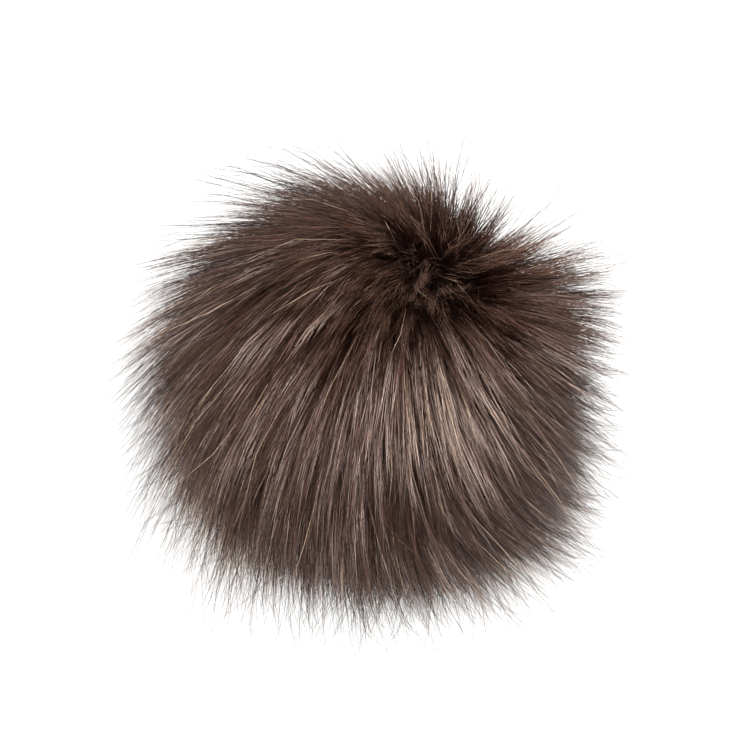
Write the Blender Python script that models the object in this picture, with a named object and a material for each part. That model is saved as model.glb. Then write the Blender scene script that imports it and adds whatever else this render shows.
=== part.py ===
"""A faux fur pom pom that rests on a flat surface.

The ball of dense pile is one solid, and its locks of longer fur are fused to it at their roots
and stand apart beyond it. The fur is combed away from a crown near the top, and the locks near
the floor are shorter and lie level on it.

Units are metres, +Z is up, and the origin is the middle of the flat spot that it rests on.
"""

import math

import bmesh
import bpy
import numpy as np
from mathutils import Vector, noise

# Driving sizes of the ball of dense pile, an ellipsoid cut off level by the floor.
BALL_RADIUS = 0.049
BALL_HALF_HEIGHT = 0.050
FLAT_RADIUS = 0.019
BALL_LEVELS = 3
BALL_LUMP = 0.0013
LUMP_SIZE = 0.030
FLOOR_Z = 0.0

# The crown that the fur is combed away from, as a lean of the ball's upright axis.
CROWN_LEAN_RIGHT = math.radians(26.0)
CROWN_LEAN_BACK = math.radians(29.0)

# One lock of fur: three sides, a flat one towards the ball and a ridge that faces out.
LOCK_COUNT = 312
LOCK_LENGTH = 0.031
LOCK_WIDTH = 0.0072
LOCK_THICKNESS = 0.0046
ROOT_DEPTH = 0.0030
LOCK_SIDES = 3
LOCK_CUTS = (0.30, 0.56, 0.80)
LOCK_FULLNESS = 1.9
PATH_STEPS = 24

# How the locks lie: their lean from upright at the tip, once clear of the crown, and the share
# of it that they already have at the root.
TIP_LEAN = math.radians(76.0)
ROOT_LEAN_SHARE = 0.20
CROWN_LENGTH_SHARE = 0.80
CROWN_SPREAD = math.radians(38.0)

# The whorl: how far a lock turns sideways for its length, high up and at the floor, and the
# places where the fur is combed further round.
# azimuth from +X, degrees; height above level, degrees; turn, degrees; spread, degrees
SWIRL_ABOVE = 0.28
SWIRL_AT_FLOOR = 0.75
ROOT_SWIRL_SHARE = 0.3
COWLICKS = (
    (305.0, 12.0, 50.0, 28.0),
    (5.0, 20.0, 28.0, 25.0),
    (120.0, 55.0, 39.0, 25.0),
    (235.0, 10.0, 5.0, 28.0),
)

# The floor turns the low locks outwards: the steepest that a tip points, from the lowest root up.
LOWEST_ROOT = 0.0042
LOWEST_SLOPE = math.radians(6.0)
FREE_ABOVE = 0.050
FREE_SLOPE = math.radians(-84.0)

# The lowest locks lie on the floor, flat side down, and are shorter.
TURNED_BELOW = 0.016
SHORT_BELOW = 0.030
SHORTEST_SHARE = 0.74

# Uneven growth, the same on each run.
SEED = 7
ROOT_SPREAD = math.radians(1.6)
LENGTH_SPREAD = 0.10
LEAN_SPREAD = math.radians(5.0)
SWING_SPREAD = math.radians(7.0)

# Where the tips reach further or less far than elsewhere, seen from the ball's middle.
# azimuth from +X, degrees; height above level, degrees; gain in reach, metres; spread, degrees
TUFTS = (
    (15.0, 9.0, 0.0070, 11.0),
    (54.0, 26.0, -0.0095, 16.0),
    (97.0, 31.0, -0.0030, 15.0),
    (164.0, 10.0, 0.0035, 16.0),
    (195.0, -9.0, 0.0050, 13.0),
    (235.0, -26.0, -0.0035, 18.0),
    (270.0, -31.0, -0.0035, 14.0),
    (351.0, -6.0, -0.0045, 11.0),
)
TIP_BEYOND_ROOT = math.radians(20.0)

FUR_COLOUR = (0.102, 0.063, 0.049, 1.0)
FUR_ROUGHNESS = 0.62


def ball_centre_height():
    """The height at which the floor cuts a flat spot of the stated radius off the ellipsoid."""
    return BALL_HALF_HEIGHT * math.sqrt(1.0 - (FLAT_RADIUS / BALL_RADIUS) ** 2)


def smooth_step(value, low, high):
    """0 below low, 1 above high and smooth between them."""
    share = np.clip((value - low) / (high - low), 0.0, 1.0)
    return share * share * (3.0 - 2.0 * share)


def unit(vectors):
    """Each row scaled to length 1."""
    return vectors / np.linalg.norm(vectors, axis=-1, keepdims=True)


def direction_of(azimuth_deg, height_deg):
    """The unit vector at an azimuth from +X and an angle above level."""
    azimuth, height = math.radians(azimuth_deg), math.radians(height_deg)
    flat = math.cos(height)
    return np.array((flat * math.cos(azimuth), flat * math.sin(azimuth), math.sin(height)))


def crown_direction():
    """The unit vector from the ball's middle to its crown."""
    right, back = math.sin(CROWN_LEAN_RIGHT), math.sin(CROWN_LEAN_BACK)
    return np.array((right, back, math.sqrt(1.0 - right**2 - back**2)))


def spiral_directions(count, pole):
    """Evenly spread unit vectors on a spiral that starts at pole."""
    index = np.arange(count) + 0.5
    height = 1.0 - 2.0 * index / count
    turn = index * math.pi * (3.0 - math.sqrt(5.0))
    flat = np.sqrt(1.0 - height**2)
    side = unit(np.cross(pole, (0.0, 1.0, 0.0)))
    other = np.cross(pole, side)
    return (
        height[:, None] * pole
        + (flat * np.cos(turn))[:, None] * side
        + (flat * np.sin(turn))[:, None] * other
    )


def add_up(places, directions):
    """What a table of places gives in each direction, fading out round each place."""
    total = np.zeros(len(directions))
    for azimuth, height, most, spread in places:
        apart = np.arccos(np.clip(directions @ direction_of(azimuth, height), -1.0, 1.0))
        total += most * np.exp(-0.5 * (apart / math.radians(spread)) ** 2)
    return total


def new_material():
    """Brown pile, matt from a distance."""
    material = bpy.data.materials.new("brown_fur")
    material.use_nodes = True
    shader = material.node_tree.nodes["Principled BSDF"]
    shader.inputs["Base Color"].default_value = FUR_COLOUR
    shader.inputs["Roughness"].default_value = FUR_ROUGHNESS
    shader.inputs["Metallic"].default_value = 0.0
    return material


def new_collection(name):
    """An empty collection in the scene."""
    collection = bpy.data.collections.new(name)
    bpy.context.scene.collection.children.link(collection)
    return collection


def new_object(name, bm, collection):
    """An object of the bmesh, which is freed."""
    mesh = bpy.data.meshes.new(name)
    bm.to_mesh(mesh)
    bm.free()
    made = bpy.data.objects.new(name, mesh)
    collection.objects.link(made)
    return made


def make_ball(collection):
    """The dense pile: a lumpy ellipsoid with its flat spot on the floor."""
    bm = bmesh.new()
    bmesh.ops.create_icosphere(bm, subdivisions=BALL_LEVELS, radius=1.0)
    centre = Vector((0.0, 0.0, ball_centre_height()))
    for vertex in bm.verts:
        outwards = vertex.co.normalized()
        round_point = Vector(
            (outwards.x * BALL_RADIUS, outwards.y * BALL_RADIUS, outwards.z * BALL_HALF_HEIGHT)
        )
        lump = BALL_LUMP * noise.noise(round_point / LUMP_SIZE)
        vertex.co = centre + round_point + outwards * lump
    cut = bmesh.ops.bisect_plane(
        bm,
        geom=bm.verts[:] + bm.edges[:] + bm.faces[:],
        plane_co=(0.0, 0.0, FLOOR_Z),
        plane_no=(0.0, 0.0, -1.0),
        clear_outer=True,
    )
    rim = [part for part in cut["geom_cut"] if isinstance(part, bmesh.types.BMEdge)]
    bmesh.ops.edgeloop_fill(bm, edges=rim)
    bmesh.ops.recalc_face_normals(bm, faces=bm.faces[:])
    return new_object("pom_pom", bm, collection)


def straight_lock():
    """A cone with a unit base and height, cut across so that it can bend, and its points."""
    bm = bmesh.new()
    bmesh.ops.create_cone(
        bm, cap_ends=True, segments=LOCK_SIDES, radius1=1.0, radius2=0.0, depth=1.0
    )
    bmesh.ops.translate(bm, verts=bm.verts[:], vec=(0.0, 0.0, 0.5))
    for height in LOCK_CUTS:
        bmesh.ops.bisect_plane(
            bm,
            geom=bm.verts[:] + bm.edges[:] + bm.faces[:],
            plane_co=(0.0, 0.0, height),
            plane_no=(0.0, 0.0, 1.0),
        )
    mesh = bpy.data.meshes.new("straight_lock")
    bm.to_mesh(mesh)
    bm.free()
    return mesh, np.array([vertex.co for vertex in mesh.vertices])


class Locks:
    """The roots of all the locks, with the way that each one leans and how long it is."""

    def __init__(self):
        chance = np.random.default_rng(SEED)
        crown = crown_direction()
        spread = spiral_directions(LOCK_COUNT, crown)
        spread = unit(spread + ROOT_SPREAD * chance.uniform(-1.0, 1.0, spread.shape))
        radii = np.array((BALL_RADIUS, BALL_RADIUS, BALL_HALF_HEIGHT))
        roots = spread * radii + (0.0, 0.0, ball_centre_height())
        grown = roots[:, 2] > LOWEST_ROOT
        self.roots = roots[grown]
        self.normals = unit(spread[grown] / radii)
        count = len(self.roots)

        height = self.roots[:, 2]
        rise = np.clip((height - LOWEST_ROOT) / (FREE_ABOVE - LOWEST_ROOT), 0.0, 1.0)
        poles = unit(rise[:, None] * crown + (1.0 - rise[:, None]) * (0.0, 0.0, 1.0))
        upwards = (self.normals * poles).sum(axis=1)
        away = unit(upwards[:, None] * self.normals - poles)
        across = np.cross(self.normals, away)
        swing = SWING_SPREAD * chance.uniform(-1.0, 1.0, count) * smooth_step(rise, 0.0, 0.6)
        swing += np.radians(add_up(COWLICKS, self.normals))
        self.combing = away * np.cos(swing)[:, None] + across * np.sin(swing)[:, None]
        self.sides = np.cross(self.normals, self.combing)

        from_crown = np.arccos(np.clip(self.normals @ crown, -1.0, 1.0))
        combed = smooth_step(from_crown, 0.0, CROWN_SPREAD)
        steepest = LOWEST_SLOPE + (FREE_SLOPE - LOWEST_SLOPE) * rise
        allowed = np.arcsin(self.normals[:, 2]) - steepest
        uneven = LEAN_SPREAD * chance.uniform(-1.0, 1.0, count) * rise
        self.tip_lean = np.minimum(TIP_LEAN * combed, allowed) + uneven
        self.root_lean = ROOT_LEAN_SHARE * self.tip_lean
        self.swirl = (SWIRL_AT_FLOOR + (SWIRL_ABOVE - SWIRL_AT_FLOOR) * rise) * combed

        near_floor = 1.0 - smooth_step(height, LOWEST_ROOT, SHORT_BELOW)
        share = CROWN_LENGTH_SHARE + (1.0 - CROWN_LENGTH_SHARE) * combed
        share *= 1.0 - (1.0 - SHORTEST_SHARE) * near_floor
        share *= 1.0 + LENGTH_SPREAD * chance.uniform(-1.0, 1.0, count)
        beyond = TIP_BEYOND_ROOT * self.tip_lean / TIP_LEAN
        tips = self.normals * np.cos(beyond)[:, None] + self.combing * np.sin(beyond)[:, None]
        self.lengths = LOCK_LENGTH * share + add_up(TUFTS, tips)

    def path(self, index):
        """One lock's line from its root to its tip, as a function of the share along it."""
        steps = np.linspace(0.0, 1.0, PATH_STEPS + 1)
        middles = (steps[:-1] + steps[1:]) / 2.0
        lean = self.root_lean[index] + (self.tip_lean[index] - self.root_lean[index]) * middles
        normal, combing = self.normals[index], self.combing[index]
        turn = self.swirl[index] * (ROOT_SWIRL_SHARE + (1.0 - ROOT_SWIRL_SHARE) * middles)
        ways = np.cos(lean)[:, None] * normal + np.sin(lean)[:, None] * combing
        ways = unit(ways + turn[:, None] * self.sides[index])
        run = np.vstack((np.zeros(3), np.cumsum(ways, axis=0)))
        return steps, self.roots[index] + run * self.lengths[index] / PATH_STEPS

    def bent(self, index, straight):
        """The straight lock's points, sized and bent along one lock's path, clear of the floor."""
        steps, points = self.path(index)
        ways = unit(np.gradient(points, axis=0))
        start = points[0] - ways[0] * ROOT_DEPTH
        steps = np.concatenate(((-ROOT_DEPTH / self.lengths[index],), steps))
        points = np.vstack((start, points))
        ways = np.vstack((ways[0], ways))
        along = steps[0] + (steps[-1] - steps[0]) * straight[:, 2]
        at = np.stack([np.interp(along, steps, points[:, k]) for k in range(3)], axis=1)
        way = unit(np.stack([np.interp(along, steps, ways[:, k]) for k in range(3)], axis=1))
        side = self.sides[index] - (way @ self.sides[index])[:, None] * way
        side = unit(side)
        if self.roots[index, 2] < TURNED_BELOW:
            side = -side
        ridge = unit(np.cross(side, way))
        taper = 1.0 - np.clip(along, 0.0, 1.0) ** LOCK_FULLNESS
        size = taper / np.maximum(1.0 - straight[:, 2], 1e-6)
        across = straight[:, 0] * size * LOCK_WIDTH / math.sqrt(3.0)
        up = straight[:, 1] * size * LOCK_THICKNESS / 1.5
        made = at + across[:, None] * side + up[:, None] * ridge
        for height in np.unique(np.round(straight[:, 2], 4)):
            ring = np.abs(straight[:, 2] - height) < 1e-3
            lowest = made[ring, 2].min()
            made[ring, 2] += max(FLOOR_Z - lowest, 0.0)
        return made


def make_locks(collection):
    """All the locks as one helper object, each a closed body with its root inside the ball."""
    template, straight = straight_lock()
    locks = Locks()
    bm = bmesh.new()
    for index in range(len(locks.roots)):
        for vertex, place in zip(template.vertices, locks.bent(index, straight)):
            vertex.co = place
        bm.from_mesh(template)
    bpy.data.meshes.remove(template)
    bmesh.ops.recalc_face_normals(bm, faces=bm.faces[:])
    helper = new_object("locks", bm, collection)
    helper.hide_render = True
    helper.display_type = "WIRE"
    print(len(locks.roots), "locks")
    return helper


def main():
    for old in list(bpy.data.objects):
        bpy.data.objects.remove(old)
    pom_pom = make_ball(new_collection("faux_fur_pom_pom"))
    locks = make_locks(new_collection("helpers"))
    fuse = pom_pom.modifiers.new("fused_roots", "BOOLEAN")
    fuse.operation = "UNION"
    fuse.object = locks
    pom_pom.data.materials.append(new_material())


main()
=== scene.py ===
"""A faux fur pom pom at rest on a pale studio floor.

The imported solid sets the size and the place. It is replaced by the dense undercoat, one lumpy
ball, and the long pile: about sixty thousand fibres that Geometry Nodes grow from combed locks.
Units are metres, +Z is up, and the origin is the middle of the flat spot underneath.
"""

from __future__ import annotations

import logging
import math
from dataclasses import dataclass, field
from enum import Enum
from typing import Any

import bmesh
import bpy
import numpy as np
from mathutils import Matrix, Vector, noise


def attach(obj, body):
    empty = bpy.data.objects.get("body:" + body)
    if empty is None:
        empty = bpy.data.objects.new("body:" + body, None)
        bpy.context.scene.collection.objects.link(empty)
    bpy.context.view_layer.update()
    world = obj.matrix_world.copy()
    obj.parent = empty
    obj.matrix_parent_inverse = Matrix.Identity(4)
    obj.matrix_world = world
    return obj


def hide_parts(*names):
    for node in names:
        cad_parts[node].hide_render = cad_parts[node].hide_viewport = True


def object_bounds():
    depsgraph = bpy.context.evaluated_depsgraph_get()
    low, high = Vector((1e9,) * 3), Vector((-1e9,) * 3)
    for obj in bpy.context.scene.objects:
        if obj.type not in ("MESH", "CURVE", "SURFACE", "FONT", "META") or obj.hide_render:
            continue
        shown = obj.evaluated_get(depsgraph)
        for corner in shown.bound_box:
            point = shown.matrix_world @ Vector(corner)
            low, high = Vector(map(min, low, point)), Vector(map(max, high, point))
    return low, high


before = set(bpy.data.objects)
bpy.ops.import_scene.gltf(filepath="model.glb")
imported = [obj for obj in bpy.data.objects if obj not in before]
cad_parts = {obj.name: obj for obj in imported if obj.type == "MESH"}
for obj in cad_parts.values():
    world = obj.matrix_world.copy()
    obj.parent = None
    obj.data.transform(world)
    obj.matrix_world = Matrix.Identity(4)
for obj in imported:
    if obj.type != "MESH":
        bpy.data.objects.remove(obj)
CAD_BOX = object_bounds()

LOG = logging.getLogger("pom_pom")
NODE = "pom_pom"
BODY = "root"
MM = 0.001


# Small tools


def linear(hex_colour: str) -> tuple[float, float, float, float]:
    """Turns an sRGB colour into the linear values that shaders take.

    Args:
        hex_colour: The colour as "#rrggbb".

    Returns:
        Linear red, green and blue, with alpha 1.
    """
    channels = []
    for start in (1, 3, 5):
        value = int(hex_colour[start : start + 2], 16) / 255.0
        channels.append(value / 12.92 if value <= 0.04045 else ((value + 0.055) / 1.055) ** 2.4)
    return channels[0], channels[1], channels[2], 1.0


def add_node(
    tree: bpy.types.NodeTree,
    kind: str,
    settings: dict[str, Any] | None = None,
    links: dict[int | str, Any] | None = None,
) -> bpy.types.Node:
    """Adds a node with its settings, values and links.

    Args:
        tree: The tree that the node joins.
        kind: The node's type name.
        settings: The node's own properties by name.
        links: A socket to link from, or a plain value, for each input by name or number.

    Returns:
        The new node.
    """
    node = tree.nodes.new(kind)
    for name, value in (settings or {}).items():
        setattr(node, name, value)
    for key, value in (links or {}).items():
        if isinstance(value, bpy.types.NodeSocket):
            tree.links.new(value, node.inputs[key])
        else:
            node.inputs[key].default_value = value
    return node


def set_ramp(node: bpy.types.Node, stops: tuple[tuple[float, str], ...]) -> None:
    """Gives a colour ramp its stops.

    Args:
        node: The Color Ramp node.
        stops: Each stop's position and sRGB colour, from left to right.
    """
    elements = node.color_ramp.elements
    while len(elements) > 1:
        elements.remove(elements[-1])
    elements[0].position = stops[0][0]
    elements[0].color = linear(stops[0][1])
    for position, colour in stops[1:]:
        elements.new(position).color = linear(colour)


def smooth_step(value: np.ndarray, low: float, high: float) -> np.ndarray:
    """Goes from 0 below low to 1 above high, smoothly."""
    share = np.clip((value - low) / (high - low), 0.0, 1.0)
    return share * share * (3.0 - 2.0 * share)


def unit(vectors: np.ndarray) -> np.ndarray:
    """Scales each row to length 1."""
    return vectors / np.maximum(np.linalg.norm(vectors, axis=-1, keepdims=True), 1e-12)


def dot(first: np.ndarray, second: np.ndarray) -> np.ndarray:
    """The dot product of each pair of rows, as a column."""
    return (first * second).sum(axis=-1, keepdims=True)


def direction(azimuth_deg: float, height_deg: float) -> np.ndarray:
    """The unit vector at an azimuth from +X and an angle above level."""
    azimuth, height = math.radians(azimuth_deg), math.radians(height_deg)
    flat = math.cos(height)
    return np.array((flat * math.cos(azimuth), flat * math.sin(azimuth), math.sin(height)))


# Finishes


@dataclass(frozen=True)
class PileFinish:
    """Modacrylic faux fur fibre: extruded, dyed brown and brushed out, silky and half glossy.

    The map's u runs from the root to the tip of each fibre, and its v holds the fibre's tone, in
    which the coat's painted sheen and painted shade are carried. The fibres are darker towards the
    roots, partly dye and partly painted shade for the depth of the pile, and the worn ends go
    towards tan.
    """

    name: str = "modacrylic_pile_brown"
    # Darker towards the roots: partly dye, partly painted shade for the depth of the pile.
    along: tuple[tuple[float, str], ...] = (
        (0.00, "#3a2821"),
        (0.28, "#6e5950"),
        (0.58, "#c6b5ab"),
        (0.80, "#f2e7df"),
        (0.92, "#f0e2d6"),
        (1.00, "#e6d2c0"),
    )
    tones: tuple[tuple[float, str], ...] = (
        (0.00, "#190d0a"),
        (0.17, "#32211d"),
        (0.33, "#55403a"),
        (0.48, "#7a6967"),
        (0.57, "#9e9594"),
        (0.62, "#b8b0af"),
        (0.76, "#c8bcb5"),
        (1.00, "#ecdcc6"),
    )
    end: str = "#b47e58"
    ends: tuple[tuple[float, str], ...] = (
        (0.66, "#000000"),
        (0.88, "#4c4c4c"),
        (1.00, "#909090"),
    )
    roughness: float = 0.36
    ior: float = 1.52
    specular: float = 0.22
    shine: str = "#ffe6da"

    def make(self) -> bpy.types.Material:
        """Builds the material.

        Returns:
            The fibre's material, which reads only its own map.
        """
        material = bpy.data.materials.new(self.name)
        material.use_nodes = True
        tree = material.node_tree
        shader = tree.nodes["Principled BSDF"]
        place = add_node(tree, "ShaderNodeUVMap", {"uv_map": "OFBake"})
        parts = add_node(tree, "ShaderNodeSeparateXYZ", links={0: place.outputs[0]})
        along = add_node(tree, "ShaderNodeValToRGB", links={0: parts.outputs[0]})
        set_ramp(along, self.along)
        tones = add_node(tree, "ShaderNodeValToRGB", links={0: parts.outputs[1]})
        set_ramp(tones, self.tones)
        dyed = add_node(
            tree,
            "ShaderNodeMix",
            {"data_type": "RGBA", "blend_type": "MULTIPLY"},
            {0: 1.0, 6: along.outputs[0], 7: tones.outputs[0]},
        )
        ends = add_node(tree, "ShaderNodeValToRGB", links={0: parts.outputs[0]})
        set_ramp(ends, self.ends)
        worn = add_node(
            tree,
            "ShaderNodeMix",
            {"data_type": "RGBA"},
            {0: ends.outputs[0], 6: dyed.outputs[2], 7: linear(self.end)},
        )
        tree.links.new(worn.outputs[2], shader.inputs["Base Color"])
        shader.inputs["Roughness"].default_value = self.roughness
        shader.inputs["IOR"].default_value = self.ior
        shader.inputs["Specular IOR Level"].default_value = self.specular
        shader.inputs["Specular Tint"].default_value = linear(self.shine)
        return material


@dataclass(frozen=True)
class UndercoatFinish:
    """Crimped modacrylic wool between the long fibres: dull and felted, dark in its own shade."""

    name: str = "modacrylic_undercoat"
    dark: str = "#221712"
    pale: str = "#3b2a23"
    tuft_mm: float = 1.6
    roughness: float = 0.9
    specular: float = 0.05
    bump_mm: float = 0.5

    def make(self) -> bpy.types.Material:
        """Builds the material.

        Returns:
            The undercoat's material, mottled and bumpy at the size of a tuft.
        """
        material = bpy.data.materials.new(self.name)
        material.use_nodes = True
        tree = material.node_tree
        shader = tree.nodes["Principled BSDF"]
        place = add_node(tree, "ShaderNodeTexCoord")
        mottle = add_node(
            tree,
            "ShaderNodeTexNoise",
            links={
                "Vector": place.outputs["Object"],
                "Scale": 1.0 / (self.tuft_mm * MM),
                "Detail": 4.0,
            },
        )
        colour = add_node(tree, "ShaderNodeValToRGB", links={0: mottle.outputs[0]})
        set_ramp(colour, ((0.3, self.dark), (0.7, self.pale)))
        bump = add_node(
            tree,
            "ShaderNodeBump",
            links={"Height": mottle.outputs[0], "Distance": self.bump_mm * MM, "Strength": 1.0},
        )
        tree.links.new(colour.outputs[0], shader.inputs["Base Color"])
        tree.links.new(bump.outputs[0], shader.inputs["Normal"])
        shader.inputs["Roughness"].default_value = self.roughness
        shader.inputs["Specular IOR Level"].default_value = self.specular
        return material


@dataclass(frozen=True)
class StudioFinish:
    """Opal acrylic sheet, sanded matt and lit through from below, so that it shows no shadow."""

    name: str = "opal_acrylic_sweep"
    colour: str = "#6a6968"
    roughness: float = 0.9
    specular: float = 0.2
    glow: float = 0.95

    def make(self) -> bpy.types.Material:
        """Builds the material.

        Returns:
            The floor's material, one even white.
        """
        material = bpy.data.materials.new(self.name)
        material.use_nodes = True
        shader = material.node_tree.nodes["Principled BSDF"]
        shader.inputs["Base Color"].default_value = linear(self.colour)
        shader.inputs["Roughness"].default_value = self.roughness
        shader.inputs["Specular IOR Level"].default_value = self.specular
        shader.inputs["Emission Color"].default_value = (1.0, 1.0, 1.0, 1.0)
        shader.inputs["Emission Strength"].default_value = self.glow
        return material


# The pom pom


class Side(Enum):
    """The parts of the coat, by where their locks are rooted, as their pieces are named."""

    CROWN = "crown"
    FRONT = "front"
    RIGHT = "right"
    BACK = "back"
    LEFT = "left"


@dataclass
class Undercoat:
    """The dense ball of wool that the long pile stands in, an ellipsoid with a flat spot."""

    radius: float = 45.0 * MM
    half_height: float = 46.0 * MM
    centre_height: float = 46.0 * MM
    lump: float = 1.6 * MM
    lump_size: float = 14.0 * MM
    levels: int = 5

    def build(self) -> bpy.types.Object:
        """Makes the ball, lumpy and flat where it rests.

        Returns:
            The dressed ball, riding on the body.
        """
        bm = bmesh.new()
        bmesh.ops.create_icosphere(bm, subdivisions=self.levels, radius=1.0)
        for vertex in bm.verts:
            outwards = vertex.co.normalized()
            place = Vector(
                (
                    outwards.x * self.radius,
                    outwards.y * self.radius,
                    outwards.z * self.half_height,
                )
            )
            place += outwards * self.lump * noise.noise(place / self.lump_size)
            place.z = max(place.z + self.centre_height, 0.0)
            vertex.co = place
        mesh = bpy.data.meshes.new("undercoat")
        bm.to_mesh(mesh)
        bm.free()
        mesh.shade_smooth()
        ball = bpy.data.objects.new("undercoat", mesh)
        bpy.context.scene.collection.objects.link(ball)
        mesh.materials.append(UndercoatFinish().make())
        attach(ball, BODY)
        return ball


@dataclass
class Lie:
    """How the pile lies at each root, one row each.

    A lock leaves its root near the normal, leans away from the crown by its tip lean once it has
    gone the share bent_by of its length, and turns to its side by its swirl.
    """

    roots: np.ndarray
    normals: np.ndarray
    away: np.ndarray
    side: np.ndarray
    root_lean: np.ndarray
    tip_lean: np.ndarray
    swirl: np.ndarray
    length: np.ndarray
    bent_by: np.ndarray
    root_swirl: float = 0.3

    def path(self, steps: int = 12) -> np.ndarray:
        """Follows each lock from its root to its tip.

        Args:
            steps: How many straight steps make up a lock.

        Returns:
            The points of all the locks, as steps + 1 arrays of one row each.
        """
        points = [self.roots]
        for step in range(steps):
            share = (step + 0.5) / steps
            bent = 1.0 - np.maximum(0.0, 1.0 - share / self.bent_by) ** 2
            lean = self.root_lean + (self.tip_lean - self.root_lean) * bent
            way = np.cos(lean) * self.normals + np.sin(lean) * self.away
            turned = self.swirl * (self.root_swirl + (1.0 - self.root_swirl) * share)
            way = unit(way + turned * self.side)
            points.append(points[-1] + way * self.length / steps)
        return np.array(points)

    def arms(self) -> tuple[np.ndarray, np.ndarray, np.ndarray]:
        """Fits a cubic Bezier curve to each lock, through its thirds.

        Returns:
            The curve's second, third and last control point, seen from the lock's root.
        """
        points = self.path()
        sweep = points[-1] - points[0]
        third = points[len(points) // 3] - points[0] - sweep / 27.0
        two_thirds = points[2 * (len(points) // 3)] - points[0] - sweep * (8.0 / 27.0)
        return 3.0 * third - 1.5 * two_thirds, 3.0 * two_thirds - 1.5 * third, sweep


@dataclass
class Comb:
    """Which way the pile lies at any root, combed in a whorl round an off-centre crown."""

    # The ellipsoid that the pile is rooted on.
    root_radius: float = 39.0 * MM
    root_half_height: float = 42.0 * MM
    centre_height: float = 44.0 * MM

    # The crown, as a lean of the ball's upright axis, and how far round it the pile stands up.
    crown_right: float = math.radians(24.0)
    crown_back: float = math.radians(29.0)
    crown_spread: float = math.radians(22.0)

    # The pile's length, and its shares of it at the crown and at the floor.
    pile: float = 42.5 * MM
    crown_pile_share: float = 0.88
    full_beyond: float = math.radians(42.0)
    shortest_share: float = 0.85
    short_below: float = 46.0 * MM

    # How far a tip leans from the normal, and how much of that a root already leans.
    tip_lean: float = math.radians(76.0)
    root_lean_share: float = 0.14
    root_uneven_share: float = 0.5
    crown_lean_share: float = 0.3
    flat_between: tuple[float, float] = (math.radians(10.0), math.radians(34.0))
    steep_between: tuple[float, float] = (math.radians(40.0), math.radians(85.0))
    bent_by: float = 0.72
    crown_bent_by: float = 1.4
    bent_between: tuple[float, float] = (0.2, 0.8)

    # Near the crown the pile falls over to one side.
    crown_drift: float = math.radians(34.0)
    drift_towards: tuple[float, float, float] = (-0.70, 0.60, 0.36)
    drift_between: tuple[float, float] = (math.radians(8.0), math.radians(42.0))

    # How far a lock turns sideways for its length, high up and at the floor.
    swirl_above: float = 0.24
    swirl_floor: float = 0.95

    # The floor turns the low locks outwards: the steepest slope of a tip, from the lowest root up.
    lowest_root: float = 2.0 * MM
    lowest_slope: float = math.radians(6.0)
    free_above: float = 50.0 * MM
    free_slope: float = math.radians(-84.0)

    # Where the pile is longer or shorter than elsewhere, seen from the ball's middle: azimuth from
    # +X and height above level in degrees, gain in metres, spread in degrees.
    tip_beyond: float = math.radians(20.0)
    tufts: tuple[tuple[float, float, float, float], ...] = (
        (17.0, 10.0, 0.0145, 14.0),
        (37.0, 18.0, -0.0080, 9.0),
        (54.0, 26.0, -0.0205, 15.0),
        (86.0, 31.0, -0.0055, 13.0),
        (124.0, 27.0, 0.0030, 13.0),
        (144.0, 20.0, 0.0060, 12.0),
        (164.0, 10.0, 0.0085, 15.0),
        (195.0, -9.0, 0.0010, 13.0),
        (216.0, -20.0, -0.0010, 14.0),
        (240.0, -28.0, -0.0080, 14.0),
        (270.0, -31.0, -0.0080, 14.0),
        (304.0, -27.0, -0.0020, 12.0),
        (324.0, -20.0, 0.0060, 13.0),
        (344.0, -9.0, -0.0065, 10.0),
        (80.0, -32.0, -0.0075, 24.0),
        (130.0, -32.0, -0.0075, 22.0),
    )

    # Where the pile is combed further round: azimuth, height, turn and spread in degrees.
    cowlicks: tuple[tuple[float, float, float, float], ...] = (
        (305.0, 12.0, 53.0, 28.0),
        (5.0, 20.0, 31.0, 25.0),
        (120.0, 55.0, 37.0, 25.0),
        (235.0, 10.0, 5.0, 28.0),
    )

    def crown(self) -> np.ndarray:
        """The unit vector from the middle of the ball to the crown."""
        right, back = math.sin(self.crown_right), math.sin(self.crown_back)
        return np.array((right, back, math.sqrt(1.0 - right**2 - back**2)))

    def radii(self) -> np.ndarray:
        """The ball's half widths along X, Y and Z, where the pile is rooted."""
        return np.array((self.root_radius, self.root_radius, self.root_half_height))

    def spread_roots(self, count: int, jitter: float, chance: np.random.Generator) -> np.ndarray:
        """Spreads directions evenly over the ball on a spiral from the crown.

        Args:
            count: How many directions the whole ball would take.
            jitter: How far each one is moved at random, in radians.
            chance: The source of chance.

        Returns:
            The unit vectors whose roots stand clear of the floor.
        """
        pole = self.crown()
        index = np.arange(count) + 0.5
        height = 1.0 - 2.0 * index / count
        turn = index * math.pi * (3.0 - math.sqrt(5.0))
        flat = np.sqrt(1.0 - height**2)
        side = unit(np.cross(pole, (0.0, 1.0, 0.0)))
        other = np.cross(pole, side)
        spread = height[:, None] * pole
        spread = spread + (flat * np.cos(turn))[:, None] * side
        spread = spread + (flat * np.sin(turn))[:, None] * other
        spread = unit(spread + jitter * chance.uniform(-1.0, 1.0, spread.shape))
        low = spread[:, 2] * self.root_half_height + self.centre_height
        return spread[low > self.lowest_root]

    def lie(self, spread: np.ndarray, uneven: Any = 0.0, swing: Any = 0.0) -> Lie:
        """Works out how the pile lies at each root.

        Args:
            spread: The roots' directions from the middle of the ball.
            uneven: How much further than its neighbours each lock leans, in radians.
            swing: How far each lock is combed to one side, in radians.

        Returns:
            The lie of the pile, one row for each root.
        """
        roots = spread * self.radii() + (0.0, 0.0, self.centre_height)
        normals = unit(spread / self.radii())
        rise = (roots[:, 2:3] - self.lowest_root) / (self.free_above - self.lowest_root)
        rise = np.clip(rise, 0.0, 1.0)
        poles = unit(rise * self.crown() + (1.0 - rise) * (0.0, 0.0, 1.0))
        away = unit(dot(normals, poles) * normals - poles)
        side = np.cross(normals, away)
        swing = swing + np.radians(self.table(self.cowlicks, normals))
        away = away * np.cos(swing) + side * np.sin(swing)
        side = np.cross(normals, away)

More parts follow.
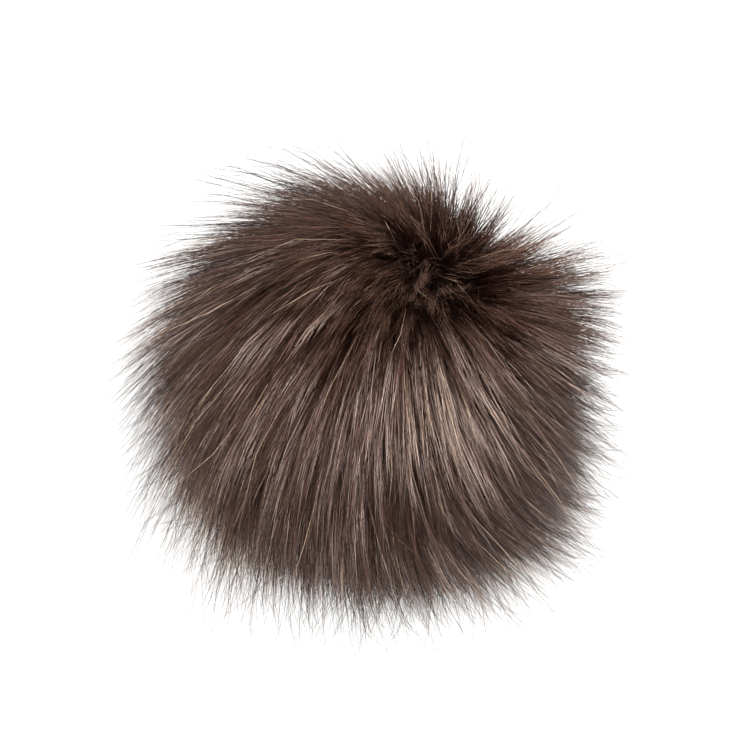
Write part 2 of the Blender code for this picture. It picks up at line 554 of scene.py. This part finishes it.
        from_crown = np.arccos(np.clip(dot(normals, self.crown()), -1.0, 1.0))
        combed = smooth_step(from_crown, 0.0, self.crown_spread)
        slope = self.lowest_slope + (self.free_slope - self.lowest_slope) * rise
        lean = np.minimum(self.tip_lean * combed, np.arcsin(normals[:, 2:3]) - slope)
        near = 1.0 - smooth_step(from_crown, *self.drift_between)
        drift = unit(self.drift_towards - normals * dot(normals, np.array(self.drift_towards)))
        leaning = away * lean + drift * near * self.crown_drift
        lean = np.maximum(np.linalg.norm(leaning, axis=1, keepdims=True), 1e-4)
        away = leaning / lean
        side = np.cross(normals, away)

        low = 1.0 - smooth_step(roots[:, 2:3], self.lowest_root, self.short_below)
        full = smooth_step(from_crown, 0.0, self.full_beyond)
        share = self.crown_pile_share + (1.0 - self.crown_pile_share) * full
        share = share * (1.0 - (1.0 - self.shortest_share) * low)
        flat = smooth_step(from_crown, *self.flat_between)
        flat = flat * (1.0 - smooth_step(from_crown, *self.steep_between))
        root_share = self.root_lean_share
        root_share = root_share + (self.crown_lean_share - root_share) * flat
        beyond = self.tip_beyond * lean / self.tip_lean
        bent = smooth_step(from_crown, *self.bent_between)
        tips = normals * np.cos(beyond) + away * np.sin(beyond)
        return Lie(
            roots=roots,
            normals=normals,
            away=away,
            side=side,
            root_lean=root_share * lean + self.root_uneven_share * uneven,
            tip_lean=lean + uneven,
            swirl=(self.swirl_floor + (self.swirl_above - self.swirl_floor) * rise) * combed,
            length=self.pile * share + self.table(self.tufts, tips),
            bent_by=self.crown_bent_by + (self.bent_by - self.crown_bent_by) * bent,
        )

    def table(
        self, rows: tuple[tuple[float, float, float, float], ...], towards: np.ndarray
    ) -> np.ndarray:
        """Adds up what a table of places gives each direction.

        Args:
            rows: Azimuth and height in degrees, the most it gives, and its spread in degrees.
            towards: The directions, as unit vectors.

        Returns:
            One number for each direction, as a column.
        """
        total = np.zeros((len(towards), 1))
        for azimuth, height, most, spread in rows:
            apart = np.arccos(np.clip(towards @ direction(azimuth, height), -1.0, 1.0))
            total[:, 0] += most * np.exp(-0.5 * (apart / math.radians(spread)) ** 2)
        return total


@dataclass
class HairTree:
    """The Geometry Nodes tree that grows each lock's fibres from one point.

    Some fibres are strays, which fly further and reach beyond the rest, and a few of those are
    pale. Others are underfur, which is short, thick and pale. The factors and terms say how much
    each kind multiplies or adds to a fibre's own numbers.
    """

    name: str = "grow_hairs"
    sides: int = 3
    segments: int = 3
    fullness: float = 0.5
    tint_gain: float = 0.30

    # How far a fibre's width spreads it on its map, so that no face is flat there, and the margin.
    map_nudge: float = 0.004
    map_edge: float = 0.005

    # How far apart the seeds of the kinds of fibre and of a fibre's other chances are.
    kind_seeds: float = 5.0
    chance_seeds: float = 11.0
    factors: dict[str, dict[str, float]] = field(
        default_factory=lambda: {
            "fly": {"Stray share": 3.6},
            "size": {"Stray share": 0.59, "Underfur share": -0.34},
            "thick": {"Stray share": -0.08, "Pale share": -0.3, "Underfur share": 0.25},
        }
    )
    terms: dict[str, dict[str, float]] = field(
        default_factory=lambda: {
            "tint": {"Stray share": -1.2, "Pale share": 6.5, "Underfur share": 1.0}
        }
    )
    inputs: tuple[tuple[str, str], ...] = (
        ("Hairs per lock", "NodeSocketInt"),
        ("Hair radius", "NodeSocketFloat"),
        ("Root spread", "NodeSocketFloat"),
        ("Gather least", "NodeSocketFloat"),
        ("Gather most", "NodeSocketFloat"),
        ("Shortest", "NodeSocketFloat"),
        ("Longest", "NodeSocketFloat"),
        ("Bend scatter", "NodeSocketFloat"),
        ("Tip scatter", "NodeSocketFloat"),
        ("Stray share", "NodeSocketFloat"),
        ("Pale share", "NodeSocketFloat"),
        ("Underfur share", "NodeSocketFloat"),
        ("Floor give", "NodeSocketFloat"),
        ("Seed", "NodeSocketInt"),
        ("Material", "NodeSocketMaterial"),
    )

    def make(self) -> bpy.types.NodeTree:
        """Builds the tree.

        Returns:
            A tree whose input is a mesh of one point for each lock, with the attributes lift,
            reach, sweep, side, pull, tone, clump and room, and whose output is tapering tubes.
        """
        tree = bpy.data.node_groups.new(self.name, "GeometryNodeTree")
        face = tree.interface
        face.new_socket("Geometry", in_out="INPUT", socket_type="NodeSocketGeometry")
        for name, kind in self.inputs:
            face.new_socket(name, in_out="INPUT", socket_type=kind)
        face.new_socket("Geometry", in_out="OUTPUT", socket_type="NodeSocketGeometry")
        given = add_node(tree, "NodeGroupInput").outputs

        hairs = self.scatter(tree, given)
        fibre = add_node(
            tree,
            "GeometryNodeMeshCone",
            {"fill_type": "TRIANGLE_FAN" if self.sides > 3 else "NGON"},
            {
                "Vertices": self.sides,
                "Side Segments": self.segments,
                "Radius Top": 0.0,
                "Radius Bottom": 1.0,
                "Depth": 1.0,
            },
        )
        shape = add_node(tree, "GeometryNodeInputPosition")
        kept = add_node(
            tree,
            "GeometryNodeStoreNamedAttribute",
            {"data_type": "FLOAT_VECTOR", "domain": "POINT"},
            {0: fibre.outputs[0], "Name": "shape", "Value": shape.outputs[0]},
        )
        set_out = add_node(
            tree, "GeometryNodeInstanceOnPoints", links={0: hairs, "Instance": kept.outputs[0]}
        )
        real = add_node(tree, "GeometryNodeRealizeInstances", links={0: set_out.outputs[0]})
        bent = self.bend(tree, given, real.outputs[0])
        mapped = self.map_tones(tree, bent)
        smooth = add_node(tree, "GeometryNodeSetShadeSmooth", links={0: mapped})
        dyed = add_node(
            tree,
            "GeometryNodeSetMaterial",
            links={0: smooth.outputs[0], "Material": given["Material"]},
        )
        add_node(tree, "NodeGroupOutput", links={0: dyed.outputs[0]})
        return tree

    def scatter(self, tree: bpy.types.NodeTree, given: Any) -> bpy.types.NodeSocket:
        """Turns each lock's point into its fibres' points, each with its own chances.

        Args:
            tree: The tree being built.
            given: The tree's inputs.

        Returns:
            The points, with the attributes offset, bend, fly, gather, size, thick and tint.
        """
        points = add_node(tree, "GeometryNodeMeshToPoints", links={0: given["Geometry"]})
        many = add_node(
            tree,
            "GeometryNodeDuplicateElements",
            {"domain": "POINT"},
            {0: points.outputs[0], "Amount": given["Hairs per lock"]},
        )
        index = add_node(tree, "GeometryNodeInputIndex").outputs[0]
        chosen = {}
        # The pale fibres are drawn with the strays' own seed, so that each of them is a stray too.
        for step, kind in enumerate(("Stray share", "Pale share", "Underfur share")):
            shift = self.kind_seeds * (step // 2)
            seed = add_node(
                tree, "ShaderNodeMath", {"operation": "ADD"}, {0: given["Seed"], 1: shift}
            )
            chosen[kind] = add_node(
                tree,
                "FunctionNodeRandomValue",
                {"data_type": "BOOLEAN"},
                {"Probability": given[kind], "ID": index, "Seed": seed.outputs[0]},
            ).outputs[3]
        chances = (
            ("offset", "FLOAT_VECTOR", (-1.0,) * 3, (1.0,) * 3, given["Root spread"]),
            ("bend", "FLOAT_VECTOR", (-1.0,) * 3, (1.0,) * 3, given["Bend scatter"]),
            ("fly", "FLOAT_VECTOR", (-1.0,) * 3, (1.0,) * 3, given["Tip scatter"]),
            ("gather", "FLOAT", given["Gather least"], given["Gather most"], None),
            ("size", "FLOAT", given["Shortest"], given["Longest"], None),
            ("thick", "FLOAT", 0.65, 1.25, None),
            ("tint", "FLOAT", -1.0, 1.0, None),
        )
        done = many.outputs[0]
        for step, (name, kind, least, most, scale) in enumerate(chances):
            vector = kind == "FLOAT_VECTOR"
            first = 0 if vector else 2
            shift = self.chance_seeds * (step + 1)
            seed = add_node(
                tree, "ShaderNodeMath", {"operation": "ADD"}, {0: given["Seed"], 1: shift}
            )
            drawn = add_node(
                tree,
                "FunctionNodeRandomValue",
                {"data_type": kind},
                {first: least, first + 1: most, "ID": index, "Seed": seed.outputs[0]},
            ).outputs[0 if vector else 1]
            if scale is not None:
                drawn = add_node(
                    tree, "ShaderNodeVectorMath", {"operation": "SCALE"}, {0: drawn, "Scale": scale}
                ).outputs[0]
            if name in self.factors:
                factor = self.weigh(tree, 1.0, chosen, self.factors[name])
                drawn = add_node(
                    tree,
                    "ShaderNodeVectorMath" if vector else "ShaderNodeMath",
                    {"operation": "SCALE" if vector else "MULTIPLY"},
                    {0: drawn, "Scale" if vector else 1: factor},
                ).outputs[0]
            drawn = self.weigh(tree, drawn, chosen, self.terms.get(name, {}))
            done = add_node(
                tree,
                "GeometryNodeStoreNamedAttribute",
                {"data_type": kind, "domain": "POINT"},
                {0: done, "Name": name, "Value": drawn},
            ).outputs[0]
        return done

    def weigh(
        self, tree: bpy.types.NodeTree, start: Any, chosen: dict[str, Any], gains: dict[str, float]
    ) -> Any:
        """Adds to a number the gains of every kind that a fibre is of."""
        for kind, gain in gains.items():
            start = add_node(
                tree,
                "ShaderNodeMath",
                {"operation": "MULTIPLY_ADD"},
                {0: chosen[kind], 1: gain, 2: start},
            ).outputs[0]
        return start

    def read(self, tree: bpy.types.NodeTree, name: str, vector: bool) -> bpy.types.NodeSocket:
        """Reads one of the fibres' attributes."""
        kind = "FLOAT_VECTOR" if vector else "FLOAT"
        node = add_node(
            tree, "GeometryNodeInputNamedAttribute", {"data_type": kind}, {"Name": name}
        )
        return node.outputs[0]

    def bend(
        self, tree: bpy.types.NodeTree, given: Any, straight: bpy.types.NodeSocket
    ) -> bpy.types.NodeSocket:
        """Bends each straight fibre along its own curve and keeps it above the floor.

        Args:
            tree: The tree being built.
            given: The tree's inputs.
            straight: The fibres as upright cones, placed at their roots.

        Returns:
            The bent fibres.
        """

        def maths(operation: str, *values: Any) -> bpy.types.NodeSocket:
            """One step of arithmetic on numbers."""
            links = dict(enumerate(values))
            return add_node(tree, "ShaderNodeMath", {"operation": operation}, links).outputs[0]

        def vectors(operation: str, *values: Any) -> bpy.types.NodeSocket:
            """One step of arithmetic on vectors, where a scale takes its factor last."""
            links: dict[int | str, Any] = dict(enumerate(values))
            if operation == "SCALE":
                links = {0: values[0], "Scale": values[1]}
            node = add_node(tree, "ShaderNodeVectorMath", {"operation": operation}, links)
            return node.outputs[0]

        shape = add_node(
            tree, "ShaderNodeSeparateXYZ", links={0: self.read(tree, "shape", True)}
        ).outputs
        along = shape[2]
        place = add_node(tree, "GeometryNodeInputPosition").outputs[0]
        root = vectors("SUBTRACT", place, self.read(tree, "shape", True))

        left = maths("SUBTRACT", 1.0, along)
        squared = maths("MULTIPLY", along, along)
        early = maths("MULTIPLY", maths("MULTIPLY", along, maths("MULTIPLY", left, left)), 3.0)
        late = maths("MULTIPLY", maths("MULTIPLY", squared, left), 3.0)
        last = maths("MULTIPLY", squared, along)
        scatter = self.read(tree, "bend", True)
        lift = vectors("ADD", self.read(tree, "lift", True), scatter)
        reach = vectors("ADD", self.read(tree, "reach", True), scatter)
        sweep = vectors("ADD", self.read(tree, "sweep", True), self.read(tree, "fly", True))
        curve = vectors("ADD", vectors("SCALE", lift, early), vectors("SCALE", reach, late))
        curve = vectors("ADD", curve, vectors("SCALE", sweep, last))
        size = maths("MINIMUM", self.read(tree, "size", False), self.read(tree, "room", False))
        curve = vectors("SCALE", curve, size)
        pulled = vectors("SCALE", self.read(tree, "pull", True), squared)
        gather = self.read(tree, "gather", False)
        gather = maths("MULTIPLY", gather, self.read(tree, "clump", False))
        held = maths("SUBTRACT", 1.0, maths("MULTIPLY", gather, along))
        offset = vectors("SCALE", self.read(tree, "offset", True), held)
        middle = vectors("ADD", vectors("ADD", root, offset), vectors("ADD", curve, pulled))

        turned = vectors("SCALE", vectors("SUBTRACT", sweep, lift), along)
        onwards = vectors("ADD", vectors("SCALE", lift, left), turned)
        side = self.read(tree, "side", True)
        ridge = vectors("NORMALIZE", vectors("CROSS_PRODUCT", side, onwards))
        taper = maths("MULTIPLY_ADD", along, self.fullness, 1.0)
        taper = maths("MULTIPLY", taper, given["Hair radius"])
        taper = maths("MULTIPLY", taper, self.read(tree, "thick", False))
        across = vectors("SCALE", side, maths("MULTIPLY", shape[0], taper))
        out = vectors("SCALE", ridge, maths("MULTIPLY", shape[1], taper))
        skin = vectors("ADD", middle, vectors("ADD", across, out))

        parts = add_node(tree, "ShaderNodeSeparateXYZ", links={0: skin}).outputs
        give = given["Floor give"]
        clear = maths("MULTIPLY_ADD", parts[2], parts[2], maths("MULTIPLY", give, give))
        level = maths("MULTIPLY", maths("ADD", parts[2], maths("SQRT", clear)), 0.5)
        final = add_node(
            tree, "ShaderNodeCombineXYZ", links={0: parts[0], 1: parts[1], 2: level}
        ).outputs[0]
        return add_node(
            tree, "GeometryNodeSetPosition", links={0: straight, "Position": final}
        ).outputs[0]

    def map_tones(
        self, tree: bpy.types.NodeTree, bent: bpy.types.NodeSocket
    ) -> bpy.types.NodeSocket:
        """Lays each fibre on the map: its length along u, at its own tone on v.

        Args:
            tree: The tree being built.
            bent: The bent fibres.

        Returns:
            The fibres with their map, named OFBake.
        """
        shape = add_node(
            tree, "ShaderNodeSeparateXYZ", links={0: self.read(tree, "shape", True)}
        ).outputs
        along = add_node(
            tree,
            "ShaderNodeMath",
            {"operation": "MULTIPLY_ADD"},
            {0: shape[0], 1: self.map_nudge, 2: shape[2]},
        )
        tint = add_node(
            tree,
            "ShaderNodeMath",
            {"operation": "MULTIPLY"},
            {0: self.read(tree, "tint", False), 1: self.read(tree, "clump", False)},
        ).outputs[0]
        mixed = add_node(
            tree,
            "ShaderNodeMath",
            {"operation": "MULTIPLY_ADD"},
            {0: tint, 1: self.tint_gain, 2: self.read(tree, "tone", False)},
        )
        tone = add_node(
            tree,
            "ShaderNodeMath",
            {"operation": "MULTIPLY_ADD"},
            {0: shape[1], 1: self.map_nudge, 2: mixed.outputs[0]},
        )
        edges = {1: self.map_edge, 2: 1.0 - self.map_edge}
        kept_in = {}
        for axis, value in enumerate((along, tone)):
            clamp = add_node(tree, "ShaderNodeClamp", links={0: value.outputs[0], **edges})
            kept_in[axis] = clamp.outputs[0]
        place = add_node(tree, "ShaderNodeCombineXYZ", links=kept_in)
        return add_node(
            tree,
            "GeometryNodeStoreNamedAttribute",
            {"data_type": "FLOAT2", "domain": "CORNER"},
            {0: bent, "Name": "OFBake", "Value": place.outputs[0]},
        ).outputs[0]


# The attributes that a coat's finished mesh has no more use for.
HAIR_WORKINGS = (
    *("lift", "reach", "sweep", "side", "pull", "tone", "clump", "room"),
    *("offset", "bend", "fly", "gather", "size", "thick", "tint", "shape"),
)


@dataclass
class Coat:
    """The long pile, one piece for each side of the pom pom."""

    comb: Comb = field(default_factory=Comb)

    # The locks, with as many again within the cap round the crown. A real fibre is a few hundredths
    # of a millimetre thick, too fine to show, so these are coarser and fewer.
    locks: int = 3780
    root_jitter: float = math.radians(1.2)
    crown_cap: float = math.radians(34.0)
    filling_jitter: float = math.radians(2.4)
    hairs_per_lock: int = 15
    hair_radius: float = 0.135 * MM
    root_spread: float = 1.7 * MM
    lengths: tuple[float, float] = (0.82, 1.14)

    # Locks are drawn together at the tips of bigger ones.
    big_locks: int = 800
    big_jitter: float = math.radians(3.0)
    big_pull: float = 0.36
    big_pull_flatter: float = 0.5

    # How unevenly the locks lie, and how much more so round the crown.
    uneven: float = math.radians(6.0)
    crown_uneven: float = 1.8
    swing: float = math.radians(5.5)
    crown_swing: float = math.radians(24.0)
    crown_clump: float = 0.4
    messy_between: tuple[float, float] = (math.radians(8.0), math.radians(40.0))

    # The fibres' tones: their middle, their chance spreads, and where painted highlight and painted
    # shade make them paler or darker: a painted sheen band across the front, painted shade round
    # the crown and below the sheen, and painted light through the fringe low at the left. Each row
    # gives azimuth and height in degrees, gain in tone and spread in degrees. A lock is judged
    # three quarters of the way to its tip, with the weights that its curve's control points have
    # there.
    tone: float = 0.285
    lock_tones: float = 0.095
    crown_calm: float = 0.7
    big_tones: float = 0.055
    judged_by: tuple[float, float, float] = (0.14, 0.42, 0.42)
    painted_sheen_and_shade: tuple[tuple[float, float, float, float], ...] = (
        (288.0, 44.5, 0.41, 12.0),
        (260.0, 50.0, 0.06, 8.0),
        (311.0, 38.0, 0.25, 9.0),
        (160.0, 62.0, -0.13, 15.0),
        (281.0, 22.0, -0.26, 9.0),
        (327.0, 75.0, -0.13, 16.0),
        (262.0, 67.0, -0.23, 10.0),
        (342.0, 58.0, -0.12, 14.0),
        (350.0, 25.0, 0.04, 14.0),
        (255.0, 5.0, 0.05, 22.0),
        (193.0, -14.0, 0.31, 11.0),
        (221.0, -25.0, 0.36, 10.0),
        (50.0, 51.0, -0.17, 12.0),
    )
    # Painted light through the low fringe: the further down a lock points, the paler its tone, from
    # the first angle below level to the second.
    fringe_light_gain: float = 0.26
    fringe_light_from: float = math.radians(14.0)
    fringe_light_full: float = math.radians(30.0)

    # How far past the solid's own box a lock may reach before its longest fibres are cut.
    stray_past: float = 3.4 * MM
    tried_along: tuple[float, ...] = (0.5, 0.7, 0.85, 1.0)
    least_room: float = 0.7
    most_room: float = 2.0

    # How the coat is parted into pieces: the crown's share, and where the round of sides starts.
    crown_share: float = 0.2
    sides_from: float = 225.0
    seed: int = 5

    def lock_rows(self) -> dict[str, np.ndarray]:
        """Works out every lock of the coat.

        Returns:
            Root, lift, reach, sweep, side, pull, tone, clump, room and part of the coat, one row
            for each lock.
        """
        chance = np.random.default_rng(self.seed)
        spread = self.comb.spread_roots(self.locks, self.root_jitter, chance)
        filling = self.comb.spread_roots(self.locks, self.filling_jitter, chance)
        filling = filling[filling @ self.comb.crown() > math.cos(self.crown_cap)]
        spread = np.concatenate((spread, filling))
        count = len(spread)
        from_crown = np.arccos(np.clip(spread @ self.comb.crown(), -1.0, 1.0))[:, None]
        messy = 1.0 - smooth_step(from_crown, *self.messy_between)
        uneven = self.uneven * (1.0 + self.crown_uneven * messy)
        uneven = uneven * chance.normal(0.0, 1.0, (count, 1))
        swing = self.swing + (self.crown_swing - self.swing) * messy
        swing = swing * chance.normal(0.0, 1.0, (count, 1))
        lie = self.comb.lie(spread, uneven, swing)
        lie.length = lie.length * chance.uniform(*self.lengths, (count, 1))
        lift, reach, sweep = lie.arms()
        big = self.comb.lie(self.comb.spread_roots(self.big_locks, self.big_jitter, chance))
        big_tips = big.path()[-1]
        nearest = np.argmax(lie.normals @ big.normals.T, axis=1)
        pull = self.big_pull * (big_tips[nearest] - lie.roots - sweep)
        pull = pull - self.big_pull_flatter * lie.normals * dot(pull, lie.normals)
        pull = pull * (1.0 - messy)
        lock_tone = chance.normal(0.0, self.lock_tones, count)
        lock_tone = lock_tone * (1.0 - self.crown_calm * messy[:, 0])
        seen = lie.roots - (0.0, 0.0, self.comb.centre_height)
        for weight, arm in zip(self.judged_by, (lift, reach, sweep)):
            seen = seen + weight * arm
        # Painted highlight and painted shade for each lock, looked up in the table of painted sheen
        # and shade.
        shade = self.comb.table(self.painted_sheen_and_shade, unit(seen))[:, 0]
        # Painted light through the low fringe, growing as a lock points further down.
        fringe_light = smooth_step(-unit(seen)[:, 2], math.sin(self.fringe_light_from), math.sin(self.fringe_light_full))
        big_tone = chance.normal(0.0, self.big_tones, len(big_tips))[nearest]
        return {
            "root": lie.roots,
            "lift": lift,
            "reach": reach,
            "sweep": sweep,
            "side": lie.side,
            "pull": pull,
            # The tone adds random tone to the painted sheen and shade and to the painted light
            # through the low fringe.
            "tone": self.tone + shade + lock_tone + big_tone + self.fringe_light_gain * fringe_light,
            "clump": (1.0 + (self.crown_clump - 1.0) * messy)[:, 0],
            "room": self.room(lie.roots + pull, lift, reach, sweep),
            "part": self.parts_of(spread),
        }

    def room(
        self, start: np.ndarray, lift: np.ndarray, reach: np.ndarray, sweep: np.ndarray
    ) -> np.ndarray:
        """Works out how many times its own length a lock's longest fibre may have.

        Args:
            start: Where each lock starts, its pull counted in.
            lift: The first arm of each lock's curve.
            reach: Its second arm.
            sweep: Its last arm, to the tip.

        Returns:
            One factor for each lock, which keeps its strays near the body's own size.
        """
        low = np.array(CAD_BOX[0]) - self.stray_past
        high = np.array(CAD_BOX[1]) + self.stray_past
        low[2] = -math.inf
        most = np.full(len(start), self.most_room)
        for along in self.tried_along:
            left = 1.0 - along
            curve = 3.0 * along * left * (left * lift + along * reach) + along**3 * sweep
            free = np.where(curve > 0.0, high - start, start - low)
            most = np.minimum(most, np.min(free / np.maximum(np.abs(curve), 1e-6), axis=1))
        return np.maximum(most, self.least_room)

    def parts_of(self, spread: np.ndarray) -> np.ndarray:
        """Works out which side of the coat each root belongs to.

        Args:
            spread: The roots' directions from the middle of the ball.

        Returns:
            Each root's side, by its place in Side.
        """
        part = np.zeros(len(spread), dtype=int)
        outwards = np.argsort(-(spread @ self.comb.crown()), kind="stable")
        rest = outwards[round(self.crown_share * len(spread)) :]
        azimuth = np.degrees(np.arctan2(spread[rest, 1], spread[rest, 0]))
        round_about = rest[np.argsort((azimuth - self.sides_from) % 360.0, kind="stable")]
        for number, roots in enumerate(np.array_split(round_about, len(Side) - 1)):
            part[roots] = number + 1
        return part

    def build(self) -> list[bpy.types.Object]:
        """Grows the coat.

        Returns:
            One piece for each side, riding on the body.
        """
        material = PileFinish().make()
        tree = HairTree().make()
        rows = self.lock_rows()
        pieces = []
        for number, side in enumerate(Side):
            chosen = rows["part"] == number
            piece = self.grow(f"pile_{side.value}", tree, material, rows, chosen, number)
            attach(piece, BODY)
            pieces.append(piece)
        return pieces

    def grow(
        self,
        name: str,
        tree: bpy.types.NodeTree,
        material: bpy.types.Material,
        rows: dict[str, np.ndarray],
        chosen: np.ndarray,
        number: int,
    ) -> bpy.types.Object:
        """Grows one side of the coat with the tree and keeps it as a plain mesh.

        Args:
            name: The piece's name.
            tree: The tree that grows hairs.
            material: The fibres' material.
            rows: Every lock of the coat.
            chosen: Which of them are this side's.
            number: The side's number, which makes its chances its own.

        Returns:
            The piece, at the origin.
        """
        points = bpy.data.meshes.new(name + "_locks")
        points.from_pydata(rows["root"][chosen].tolist(), [], [])
        for key in ("lift", "reach", "sweep", "side", "pull"):
            layer = points.attributes.new(key, "FLOAT_VECTOR", "POINT")
            layer.data.foreach_set("vector", rows[key][chosen].astype(np.float32).ravel())
        for key in ("tone", "clump", "room"):
            layer = points.attributes.new(key, "FLOAT", "POINT")
            layer.data.foreach_set("value", rows[key][chosen].astype(np.float32))
        seeded = bpy.data.objects.new(name + "_locks", points)
        bpy.context.scene.collection.objects.link(seeded)
        values = {
            "Hairs per lock": self.hairs_per_lock,
            "Hair radius": self.hair_radius,
            "Root spread": self.root_spread,
            "Gather least": 0.35,
            "Gather most": 0.95,
            "Shortest": 0.62,
            "Longest": 1.06,
            "Bend scatter": 0.55 * MM,
            "Tip scatter": 1.4 * MM,
            "Stray share": 0.09,
            "Pale share": 0.004,
            "Underfur share": 0.05,
            "Floor give": 3.0 * MM,
            "Seed": self.seed + 1000 * number,
            "Material": material,
        }
        modifier = seeded.modifiers.new("grow", "NODES")
        modifier.node_group = tree
        for item in tree.interface.items_tree:
            if item.in_out == "INPUT" and item.name in values:
                modifier[item.identifier] = values[item.name]
        graph = bpy.context.evaluated_depsgraph_get()
        mesh = bpy.data.meshes.new_from_object(seeded.evaluated_get(graph))
        bpy.data.objects.remove(seeded)
        for layer in [entry.name for entry in mesh.attributes]:
            if layer in HAIR_WORKINGS:
                mesh.attributes.remove(mesh.attributes[layer])
        mesh.name = name
        piece = bpy.data.objects.new(name, mesh)
        bpy.context.scene.collection.objects.link(piece)
        return piece


# The studio


@dataclass
class Studio:
    """A white floor, a soft key light overhead and a long lens."""

    elevation: float = math.radians(58.7)
    target: tuple[float, float, float] = (-0.0011, 0.0, 0.0502)
    distance: float = 0.62
    lens_mm: float = 103.0
    sensor_mm: float = 36.0
    nearest: float = 0.01
    floor_size: float = 8.0
    surround: float = 1.1
    key_azimuth_deg: float = 300.0
    key_height_deg: float = 74.0
    key_away: float = 0.9
    key_size: float = 0.25
    key_watts: float = 22.0

    def build(self) -> None:
        """Sets up the floor, the surround, the light and the camera."""
        self.floor()
        self.world()
        self.key_light()
        self.camera()
        bpy.context.scene.view_settings.view_transform = "Standard"

    def floor(self) -> None:
        """Lays the white floor."""
        mesh = bpy.data.meshes.new("studio_floor")
        bm = bmesh.new()
        bmesh.ops.create_grid(bm, x_segments=2, y_segments=2, size=self.floor_size / 2.0)
        bm.to_mesh(mesh)
        bm.free()
        board = bpy.data.objects.new("studio_floor", mesh)
        bpy.context.scene.collection.objects.link(board)
        mesh.materials.append(StudioFinish().make())

    def world(self) -> None:
        """Lights the room evenly from all round."""
        world = bpy.data.worlds.new("studio")
        bpy.context.scene.world = world
        world.use_nodes = True
        background = world.node_tree.nodes["Background"]
        background.inputs["Color"].default_value = (1.0, 1.0, 1.0, 1.0)
        background.inputs["Strength"].default_value = self.surround

    def key_light(self) -> None:
        """Hangs one soft square light, high and to the front, that faces the pom pom."""
        data = bpy.data.lights.new("key", "AREA")
        data.size = self.key_size
        data.energy = self.key_watts
        lamp = bpy.data.objects.new("key", data)
        bpy.context.scene.collection.objects.link(lamp)
        towards = Vector(direction(self.key_azimuth_deg, self.key_height_deg))
        lamp.location = Vector(self.target) + towards * self.key_away
        lamp.rotation_euler = towards.to_track_quat("Z", "Y").to_euler()

    def camera(self) -> None:
        """Puts the camera in front, looking down on the pom pom."""
        data = bpy.data.cameras.new("camera")
        data.lens = self.lens_mm
        data.sensor_width = self.sensor_mm
        data.clip_start = self.nearest
        camera = bpy.data.objects.new("camera", data)
        bpy.context.scene.collection.objects.link(camera)
        back = Vector((0.0, -math.cos(self.elevation), math.sin(self.elevation)))
        camera.location = Vector(self.target) + back * self.distance
        camera.rotation_euler = back.to_track_quat("Z", "Y").to_euler()
        bpy.context.scene.camera = camera


def main() -> None:
    """Builds the pom pom and its studio."""
    logging.basicConfig(level=logging.INFO, format="%(message)s")
    ball = Undercoat().build()
    LOG.info("%s: %d faces", ball.name, len(ball.data.polygons))
    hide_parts(NODE)
    for piece in Coat().build():
        piece.data.calc_loop_triangles()
        LOG.info("%s: %d triangles", piece.name, len(piece.data.loop_triangles))
    Studio().build()


if __name__ == "__main__":
    main()
